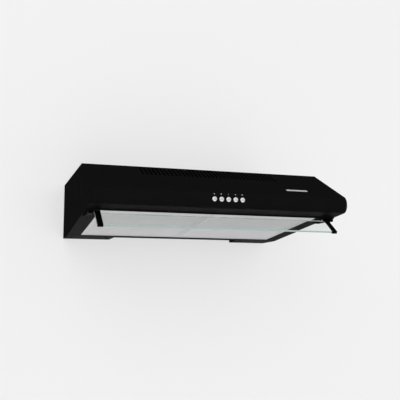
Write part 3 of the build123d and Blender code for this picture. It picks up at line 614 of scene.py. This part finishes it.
def makeMark(name):
    size, line = mark["size"], mark["line"]
    if name == "light":
        rays = makeRays(mark["rays"], size * mark["rayReach"], line * mark["rayLine"])
        parts = [makeRing(size * mark["hub"], size * mark["hubLine"]), *rays]
    elif name == "fan_off":
        parts = [makeRing(size * mark["ring"], line)]
    else:
        bars = {"low_speed": 1, "medium_speed": 2, "high_speed": 3}[name]
        places = [(number - (bars - 1) / 2) * line * mark["barStep"] for number in range(bars)]
        parts = [makeBar(place, line, size * mark["barHigh"]) for place in places]
    piece = joinPieces(parts)
    thicken = piece.modifiers.new("ink", "SOLIDIFY")
    thicken.thickness = mark["thick"]
    thicken.offset = 0.0
    applyModifiers(piece)
    faceOutwards(piece)
    turn = mark["turn"]
    piece.rotation_euler = (math.radians(90) - turn, 0, 0)
    outward = Vector((0, -math.cos(turn), math.sin(turn)))
    piece.location = noseCentre + outward * mark["noseRadius"] + Vector((middleOf(name + "_button").x, 0, 0))
    finishPiece(piece, name + "_mark", "casing", "white_plastic", finishes["mark_ink"])


for name in buttonNames:
    makeMark(name)
print("buttons and marks made")

# grease filters: crimped layers between two sheets of expanded diamond mesh
mesh = {
    "long": 0.0100, "short": 0.0056, "strand": 0.00072, "lean": 0.00035, "thick": 0.0003,
    "lowerLift": 0.0016, "upperLift": 0.0079, "endGap": 0.0007, "cupGap": 0.0003,
}
core = {"pitch": 0.0062, "crimp": 0.0009, "low": 0.0026, "high": 0.0074}


def cutWindow(piece, low, high):
    # cuts a flat sheet along the four sides of a window and deletes what is inside it
    selectOnly(piece)
    for place, way in ((low, (1, 0)), (high, (1, 0)), (low, (0, 1)), (high, (0, 1))):
        bpy.ops.object.mode_set(mode="EDIT")
        bpy.ops.mesh.select_all(action="SELECT")
        bpy.ops.mesh.bisect(plane_co=(*place, 0), plane_no=(*way, 0), use_fill=False)
        bpy.ops.object.mode_set(mode="OBJECT")
    editFaces(piece, lambda centre, normal: low[0] < centre.x < high[0] and low[1] < centre.y < high[1])
    bpy.ops.mesh.delete(type="FACE")
    bpy.ops.object.mode_set(mode="OBJECT")


def trimSheet(piece, low, high):
    selectOnly(piece)
    for place, way in ((low, (-1, 0)), (high, (1, 0)), (low, (0, -1)), (high, (0, 1))):
        bpy.ops.object.mode_set(mode="EDIT")
        bpy.ops.mesh.select_all(action="SELECT")
        bpy.ops.mesh.bisect(plane_co=(*place, 0), plane_no=(*way, 0), use_fill=False, clear_outer=True)
        bpy.ops.object.mode_set(mode="OBJECT")


def repeatBoth(piece, countX, countY, stepX, stepY):
    for count, offset in ((countX, (stepX, 0, 0)), (countY, (0, stepY, 0))):
        array = piece.modifiers.new("repeat", "ARRAY")
        array.count = count
        array.use_relative_offset = False
        array.use_constant_offset = True
        array.constant_offset_displace = offset
    applyModifiers(piece)


def makeDiamond(x, y):
    bpy.ops.object.select_all(action="DESELECT")
    bpy.ops.mesh.primitive_circle_add(vertices=4, radius=0.5, fill_type="NGON", location=(x, y, 0))
    diamond = bpy.context.object
    diamond.scale = (mesh["long"], mesh["short"], 1)
    applyPlace(diamond)
    bpy.ops.object.mode_set(mode="EDIT")
    bpy.ops.mesh.select_all(action="SELECT")
    bpy.ops.mesh.inset(thickness=mesh["strand"], depth=mesh["lean"])
    bpy.ops.mesh.delete(type="FACE")
    bpy.ops.object.mode_set(mode="OBJECT")
    return diamond


def makeMeshSheet(width, reach, window):
    pair = [makeDiamond(0, 0), makeDiamond(mesh["long"] / 2, mesh["short"] / 2)]
    sheet = joinPieces(pair)
    countX = math.ceil(width / mesh["long"]) + 2
    countY = math.ceil(reach / mesh["short"]) + 2
    repeatBoth(sheet, countX, countY, mesh["long"], mesh["short"])
    sheet.location = (-(countX - 1) * mesh["long"] / 2, -(countY - 1) * mesh["short"] / 2, 0)
    applyPlace(sheet)
    trimSheet(sheet, (-width / 2, -reach / 2), (width / 2, reach / 2))
    cutWindow(sheet, *window)
    faceOutwards(sheet)
    return sheet


def makeCore(width, reach, window):
    bpy.ops.object.select_all(action="DESELECT")
    rows = round(reach / core["pitch"]) * 2
    bpy.ops.mesh.primitive_grid_add(x_subdivisions=1, y_subdivisions=rows, size=1.0)
    sheet = bpy.context.object
    sheet.scale = (width, reach, 1)
    applyPlace(sheet)
    bpy.ops.object.mode_set(mode="EDIT")
    bpy.ops.mesh.select_mode(type="VERT")
    bpy.ops.mesh.select_all(action="DESELECT")
    bpy.ops.object.mode_set(mode="OBJECT")
    for vertex in sheet.data.vertices:
        vertex.select = round((vertex.co.y / reach + 0.5) * rows) % 2 == 1
    bpy.ops.object.mode_set(mode="EDIT")
    bpy.ops.transform.translate(value=(0, 0, core["crimp"]))
    bpy.ops.object.mode_set(mode="OBJECT")
    cutWindow(sheet, *window)
    thicken = sheet.modifiers.new("layers", "SOLIDIFY")
    thicken.thickness = core["high"] - core["low"] - core["crimp"]
    thicken.offset = 1.0
    applyModifiers(sheet)
    faceOutwards(sheet)
    return sheet


def makeFilter(side):
    body = side + "_filter"
    padLow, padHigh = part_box(side + "_filter_pad")
    cupLow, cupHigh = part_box(side + "_filter_handle")
    centre = (padLow + padHigh) / 2
    cup = (cupLow + cupHigh) / 2
    slope = math.cos(underside["angle"])
    width = padHigh.x - padLow.x
    reach = (padHigh.y - padLow.y - mesh["endGap"]) / slope
    cupHalf = ((cupHigh.x - cupLow.x) / 2 + mesh["cupGap"], (cupHigh.y - cupLow.y) / 2 / slope)
    offset = (cup.y - centre.y) / slope
    window = ((-cupHalf[0], offset - cupHalf[1]), (cupHalf[0], offset + cupHalf[1]))
    sheet = makeMeshSheet(width, reach, window)
    upper = bpy.data.objects.new("upper", sheet.data.copy())
    bpy.context.scene.collection.objects.link(upper)
    filling = makeCore(width, reach, window)
    for piece, lift in ((sheet, mesh["lowerLift"]), (upper, mesh["upperLift"]), (filling, core["low"])):
        if piece is not filling:
            thicken = piece.modifiers.new("strand", "SOLIDIFY")
            thicken.thickness = mesh["thick"]
            applyModifiers(piece)
        layOnUnderside(piece, underPoint(centre.x, centre.y, lift))
    finishPiece(sheet, side + "_lower_mesh", body, "filter_mesh", finishes["filter_mesh"])
    finishPiece(upper, side + "_upper_mesh", body, "filter_mesh", finishes["filter_mesh"])
    finishPiece(filling, side + "_filter_layers", body, "filter_mesh", finishes["filter_layers"])
    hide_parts(side + "_filter_pad")


for side in ("left", "right"):
    makeFilter(side)
print("filter meshes made")

# visor pane: polished edges, green where the glass is seen edge on
pane = {"weld": 0.000002, "flat": 1, "arris": 0.0003, "arrisAngle": 30}


def makePane():
    source = cadNodes["visor_glass"]
    piece = bpy.data.objects.new("visorPane", source.data.copy())
    bpy.context.scene.collection.objects.link(piece)
    selectOnly(piece)
    bpy.ops.object.mode_set(mode="EDIT")
    bpy.ops.mesh.select_all(action="SELECT")
    bpy.ops.mesh.remove_doubles(threshold=pane["weld"])
    bpy.ops.mesh.dissolve_limited(angle_limit=math.radians(pane["flat"]))
    bpy.ops.object.mode_set(mode="OBJECT")
    bevelEdges(piece, pane["arris"], 3, pane["arrisAngle"])
    finishPiece(piece, "visor_pane", "visor", "glass", finishes["glass"], finishes["glass_edge"])
    broad = max(piece.data.polygons, key=lambda face: face.area).normal.copy()
    for face in piece.data.polygons:
        face.material_index = 0 if abs(face.normal.dot(broad)) > 0.99 else 1
    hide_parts("visor_glass")


makePane()
print("visor pane made")

# lamp lenses: frosted windows with fine ribs across them
lens = {
    "ribs": 40, "depth": 0.00035, "thick": 0.0009, "low": 0.0006,
    "sideGap": 0.0044, "endGap": 0.0046, "flange": 0.002, "flangeThick": 0.001, "flangeLift": 0.002,
}


def makeLens(side):
    low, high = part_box(side + "_lamp_lens")
    centre = (low + high) / 2
    slope = math.cos(underside["angle"])
    width, reach = high.x - low.x - lens["sideGap"], (high.y - low.y) / slope - lens["endGap"]
    bpy.ops.object.select_all(action="DESELECT")
    bpy.ops.mesh.primitive_grid_add(x_subdivisions=lens["ribs"] * 2, y_subdivisions=1, size=1.0)
    window = bpy.context.object
    window.scale = (width, reach, 1)
    applyPlace(window)
    bpy.ops.object.mode_set(mode="EDIT")
    bpy.ops.mesh.select_mode(type="VERT")
    bpy.ops.mesh.select_all(action="DESELECT")
    bpy.ops.object.mode_set(mode="OBJECT")
    for vertex in window.data.vertices:
        vertex.select = round((vertex.co.x / width + 0.5) * lens["ribs"] * 2) % 2 == 1
    bpy.ops.object.mode_set(mode="EDIT")
    bpy.ops.transform.translate(value=(0, 0, lens["depth"]))
    bpy.ops.mesh.select_all(action="SELECT")
    bpy.ops.mesh.extrude_region_move(TRANSFORM_OT_translate={"value": (0, 0, lens["thick"])})
    bpy.ops.object.mode_set(mode="OBJECT")
    faceOutwards(window)
    layOnUnderside(window, underPoint(centre.x, centre.y, lens["low"]))
    halfX, halfY = width / 2 + lens["flange"], reach / 2 + lens["flange"]
    flange = bevelledBox((-halfX, -halfY, 0), (halfX, halfY, lens["flangeThick"]), 0.0002)
    layOnUnderside(flange, underPoint(centre.x, centre.y, lens["flangeLift"]))
    piece = joinPieces([window, flange])
    finishPiece(piece, side + "_lens", "casing", "lamp_lens", finishes["lamp_lens"])
    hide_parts(side + "_lamp_lens")


for side in ("left", "right"):
    makeLens(side)

# motor: ribbed can with end caps and tie screws
motorShape = {
    "ribs": 7, "ribDepth": 0.0012, "capPart": 0.22, "capRatio": 0.93, "step": 0.0002,
    "end": ((0.0, 0.30), (0.0008, 0.34), (0.0010, 0.80), (0.0036, 0.93)),  # along, part of the radius
    "screwRadius": 0.0021, "screwCircle": 0.84, "screwIn": 0.0012, "screwTurns": (45, 135, 225, 315),
}


def makeMotor():
    low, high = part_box("motor")
    centre = (low + high) / 2
    radius, long = (high.z - low.z) / 2, high.x - low.x
    cap, valley = long * motorShape["capPart"], radius - motorShape["ribDepth"]
    step, capRadius = motorShape["step"], radius * motorShape["capRatio"]
    stations = [(along, radius * ratio) for along, ratio in motorShape["end"]]
    stations += [(cap, capRadius), (cap + step, radius)]
    pitch = (long - 2 * cap) / motorShape["ribs"]
    for number in range(motorShape["ribs"]):
        start = cap + number * pitch
        stations += [(start + pitch * 0.30, radius), (start + pitch * 0.38, valley)]
        stations += [(start + pitch * 0.62, valley), (start + pitch * 0.70, radius)]
    stations += [(long - cap, radius), (long - cap + step, capRadius)]
    stations += [(long - along, radius * ratio) for along, ratio in reversed(motorShape["end"])]
    parts = [turnPiece(stations, (low.x, centre.y, centre.z), towardsRight, 64)]
    head = motorShape["screwRadius"]
    for turn in motorShape["screwTurns"]:
        reach = radius * motorShape["screwCircle"]
        aside, up = reach * math.cos(math.radians(turn)), reach * math.sin(math.radians(turn))
        place = (low.x + motorShape["screwIn"], centre.y + aside, centre.z + up)
        parts.append(turnPiece([(0, head * 0.8), (0.0004, head), (0.002, head)], place, towardsRight, 16))
    piece = joinPieces(parts)
    smoothByAngle(piece)
    finishPiece(piece, "motor_can", "casing", "motor_metal", finishes["motor_metal"])
    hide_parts("motor")


makeMotor()


# capacitor: rolled can with a crimped end and two tabs
can = {
    "closedEnd": ((0, 0.82), (0.0010, 0.94), (0.0022, 1.0), (0.0060, 1.0)),  # along, part of the radius
    "groove": ((0.0066, 0.0008), (0.0078, 0.0008), (0.0084, 0.0)),  # along, depth
    "openEnd": ((0.0050, 1.0), (0.0046, 0.96), (0.0042, 0.96), (0.0038, 1.0), (0.0030, 1.0), (0.0028, 0.90)),
    "tabLong": 0.0029, "tabHalf": 0.0031, "tabThick": 0.0004, "tabLifts": (-0.005, 0.005),
}


def makeCapacitor():
    low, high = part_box("capacitor")
    centre = (low + high) / 2
    radius, long = (high.z - low.z) / 2, high.x - low.x
    stations = [(along, radius * ratio) for along, ratio in can["closedEnd"]]
    stations += [(along, radius - depth) for along, depth in can["groove"]]
    stations += [(long - along, radius * ratio) for along, ratio in can["openEnd"]]
    parts = [turnPiece(stations, (low.x, centre.y, centre.z), towardsRight, 48)]
    for lift in can["tabLifts"]:
        back, front = centre.y - can["tabHalf"], centre.y + can["tabHalf"]
        under, over = centre.z + lift - can["tabThick"], centre.z + lift + can["tabThick"]
        parts.append(bevelledBox((high.x - can["tabLong"], back, under), (high.x, front, over), 0.00015))
    piece = joinPieces(parts)
    smoothByAngle(piece)
    finishPiece(piece, "capacitor_can", "casing", "white_plastic", finishes["white_plastic"])
    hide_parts("capacitor")


makeCapacitor()


# cable gland: hexagon nut, ribbed dome and a bore
gland = {
    "nutRadius": 0.012, "nutRatio": 0.995, "nutHigh": 0.006, "nutMiddle": 0.011, "nutEdge": 0.0006,
    "barrel": ((0, 0.0080), (0.008, 0.0080), (0.0081, 0.0085), (0.0142, 0.0088)),  # along, radius
    "rings": 3, "firstRing": 0.0146, "ringPitch": 0.0022, "ringOuter": 0.0088, "ringInner": 0.0082,
    "ringTaper": 0.0004, "ringSteps": (0.0011, 0.0013, 0.0020),
    "nose": ((0.0008, 0.0070), (0, 0.0060), (0, 0.0040), (0.012, 0.0039)),  # before the end, radius
}


def makeGland():
    low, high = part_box("cable_gland")
    centre = (low + high) / 2
    long = high.y - low.y
    towardsWall = (-math.radians(90), 0, 0)
    bpy.ops.object.select_all(action="DESELECT")
    bpy.ops.mesh.primitive_cylinder_add(
        vertices=6, radius=gland["nutRadius"] * gland["nutRatio"], depth=gland["nutHigh"],
        location=(0, 0, gland["nutMiddle"]),
    )
    hexagon = bpy.context.object
    applyPlace(hexagon)
    bevelEdges(hexagon, gland["nutEdge"], 3, 30)
    hexagon.rotation_euler = towardsWall
    hexagon.location = (centre.x, low.y, centre.z)
    applyPlace(hexagon)
    stations = list(gland["barrel"])
    toBand, toValley, toEnd = gland["ringSteps"]
    for ring in range(gland["rings"]):
        start = gland["firstRing"] + ring * gland["ringPitch"]
        outer = gland["ringOuter"] - ring * gland["ringTaper"]
        inner = gland["ringInner"] - ring * gland["ringTaper"]
        stations += [(start, outer), (start + toBand, outer)]
        stations += [(start + toValley, inner), (start + toEnd, inner)]
    stations += [(long - along, radius) for along, radius in gland["nose"]]
    dome = turnPiece(stations, (centre.x, low.y, centre.z), towardsWall, 48)
    piece = joinPieces([hexagon, dome])
    smoothByAngle(piece, 30)
    finishPiece(piece, "gland_body", "casing", "black_plastic", finishes["black_plastic"])
    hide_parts("cable_gland")


makeGland()


# terminal lid: sunk panel and two screws
lid = {
    "edge": 0.0006, "border": 0.004, "sunk": 0.0006, "screwInset": 0.008, "screwSunk": 0.001,
    "head": ((0, 0.0030), (0.0006, 0.0030), (0.0009, 0.0026), (0.0010, 0.0018)),  # along, radius
}


def makeLid():
    low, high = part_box("terminal_lid")
    plate = bevelledBox(low, high, lid["edge"], 3)
    editFaces(plate, lambda centre, normal: normal.y < -0.9 and centre.y < low.y + 0.0002)
    bpy.ops.mesh.inset(thickness=lid["border"])
    bpy.ops.transform.translate(value=(0, lid["sunk"], 0))
    bpy.ops.object.mode_set(mode="OBJECT")
    screws = []
    for x in (low.x + lid["screwInset"], high.x - lid["screwInset"]):
        place = (x, low.y + lid["screwSunk"], (low.z + high.z) / 2)
        screws.append(turnPiece(lid["head"], place, towardsFront, 24))
    piece = joinPieces([plate, *screws])
    smoothByAngle(piece)
    finishPiece(piece, "terminal_cover", "casing", "grey_plastic", finishes["grey_plastic"])
    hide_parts("terminal_lid")


makeLid()
print("lamps, motor and wiring made")

# outlet flaps: stiffening ribs moulded on their upper faces
flapRib = {
    "across": 0.0012, "high": 0.0009, "near": 0.013, "far": 0.050, "places": (-0.024, 0.0, 0.024),
    "crossHalf": 0.042, "flapHalf": 0.0005, "root": 0.0002, "edge": 0.0004,
}


def makeFlapRibs(side, outward):
    top = middleOf("flap_pin").z + flapRib["flapHalf"]
    under, over, half = top - flapRib["root"], top + flapRib["high"], flapRib["across"] / 2
    near = flapRib["near"]
    parts = []
    for x in flapRib["places"]:
        ends = sorted((outward * near, outward * math.sqrt(flapRib["far"] ** 2 - x**2)))
        parts.append(bevelledBox((x - half, ends[0], under), (x + half, ends[1], over), flapRib["edge"], 3))
    ends = sorted((outward * near, outward * (near + flapRib["across"])))
    wide = flapRib["crossHalf"]
    parts.append(bevelledBox((-wide, ends[0], under), (wide, ends[1], over), flapRib["edge"], 3))
    piece = joinPieces(parts)
    smoothByAngle(piece)
    finishPiece(piece, side + "_flap_ribs", side + "_damper", "flap_plastic", finishes["flap_plastic"])


makeFlapRibs("front", -1)
makeFlapRibs("rear", 1)
print("flap ribs made")

# wall, floor and light
room = {"wallGap": 0.0006, "nearGaps": 3, "floorDrop": 1.15, "reach": 12.0}


def buildRoomFinish(name, colour, glow):
    # clear from behind, and to rays that start in the gap behind the hood, so its back is lit too
    material, tree, shader = startMaterial(name, 0.0, 0.9)
    shader.inputs["Base Color"].default_value = (*colour, 1.0)
    shader.inputs["Emission Color"].default_value = (1.0, 1.0, 1.0, 1.0)
    shader.inputs["Emission Strength"].default_value = glow
    shader.inputs["Specular IOR Level"].default_value = 0.1
    facing = tree.nodes.new("ShaderNodeNewGeometry")
    path = tree.nodes.new("ShaderNodeLightPath")
    near = tree.nodes.new("ShaderNodeMath")
    near.operation = "LESS_THAN"
    near.inputs[1].default_value = room["nearGaps"] * room["wallGap"]
    tree.links.new(path.outputs["Ray Length"], near.inputs[0])
    either = tree.nodes.new("ShaderNodeMath")
    either.operation = "MAXIMUM"
    tree.links.new(facing.outputs["Backfacing"], either.inputs[0])
    tree.links.new(near.outputs["Value"], either.inputs[1])
    clear = tree.nodes.new("ShaderNodeBsdfTransparent")
    mix = tree.nodes.new("ShaderNodeMixShader")
    tree.links.new(either.outputs["Value"], mix.inputs["Fac"])
    tree.links.new(shader.outputs["BSDF"], mix.inputs[1])
    tree.links.new(clear.outputs["BSDF"], mix.inputs[2])
    tree.links.new(mix.outputs["Shader"], tree.nodes["Material Output"].inputs["Surface"])
    return material


wallFinish = buildRoomFinish("backlitWall", (0.34, 0.34, 0.34), 0.53)
floorFinish = buildRoomFinish("paleFloor", (0.86, 0.86, 0.86), 0.0)
bpy.ops.object.select_all(action="DESELECT")
bpy.ops.mesh.primitive_plane_add(
    size=room["reach"], location=(0, cadHigh.y + room["wallGap"], 0), rotation=(math.radians(90), 0, 0)
)
wall = bpy.context.object
wall.name = "wall"
wall.data.materials.append(wallFinish)
wall.visible_glossy = False  # the black paint would mirror it at a glancing angle
bpy.ops.object.select_all(action="DESELECT")
bpy.ops.mesh.primitive_plane_add(size=room["reach"], location=(0, 0, -room["floorDrop"]))
floor = bpy.context.object
floor.name = "floor"
floor.data.materials.append(floorFinish)


def addSoftbox(name, place, aim, size, power):
    data = bpy.data.lights.new(name, "AREA")
    data.shape = "RECTANGLE"
    data.size, data.size_y = size
    data.energy = power
    lamp = bpy.data.objects.new(name, data)
    bpy.context.scene.collection.objects.link(lamp)
    lamp.location = place
    lamp.rotation_mode = "QUATERNION"
    lamp.rotation_quaternion = (Vector(aim) - Vector(place)).to_track_quat("-Z", "Y")


softboxes = [
    ("keySoftbox", (-1.4, -2.6, 1.4), (0, 0, -0.1), (2.4, 1.8), 14),
    ("fillSoftbox", (2.2, -2.2, 0.4), (0, 0, -0.1), (1.6, 1.6), 2),
    ("lowSoftbox", (0.2, -1.6, -1.05), (0, 0, -0.1), (2.0, 1.4), 8),
]
for softbox in softboxes:
    addSoftbox(*softbox)

sky = {
    "strength": 0.95, "brightWay": (-0.55, -0.25, 0.80), "dimmest": 0.30, "brightest": 1.15,
    "behindWall": 0.05, "wallBlend": 0.05,
}


def buildSky():
    # even white light; reflections see it fade from upper left to lower right, and dark behind the wall
    world = bpy.data.worlds.new("studioWorld")
    bpy.context.scene.world = world
    world.use_nodes = True
    tree = world.node_tree
    path = tree.nodes.new("ShaderNodeLightPath")
    way = tree.nodes.new("ShaderNodeTexCoord").outputs["Generated"]
    split = tree.nodes.new("ShaderNodeSeparateXYZ")
    tree.links.new(way, split.inputs["Vector"])
    front = remap(tree, split.outputs["Y"], -sky["wallBlend"], sky["wallBlend"], 1.0, sky["behindWall"])
    towards = tree.nodes.new("ShaderNodeVectorMath")
    towards.operation = "DOT_PRODUCT"
    towards.inputs[1].default_value = sky["brightWay"]
    tree.links.new(way, towards.inputs[0])
    fade = remap(tree, towards.outputs["Value"], -0.5, 0.85, sky["dimmest"], sky["brightest"])
    mirrored = tree.nodes.new("ShaderNodeMath")
    mirrored.operation = "MULTIPLY"
    tree.links.new(front, mirrored.inputs[0])
    tree.links.new(fade, mirrored.inputs[1])
    strength = tree.nodes.new("ShaderNodeMix")
    strength.inputs["A"].default_value = sky["strength"]
    tree.links.new(path.outputs["Is Glossy Ray"], strength.inputs["Factor"])
    tree.links.new(mirrored.outputs["Value"], strength.inputs["B"])
    tree.links.new(strength.outputs["Result"], tree.nodes["Background"].inputs["Strength"])
    tree.nodes["Background"].inputs["Color"].default_value = (1.0, 1.0, 1.0, 1.0)


buildSky()
bpy.context.scene.view_settings.view_transform = "Standard"

bpy.context.view_layer.update()
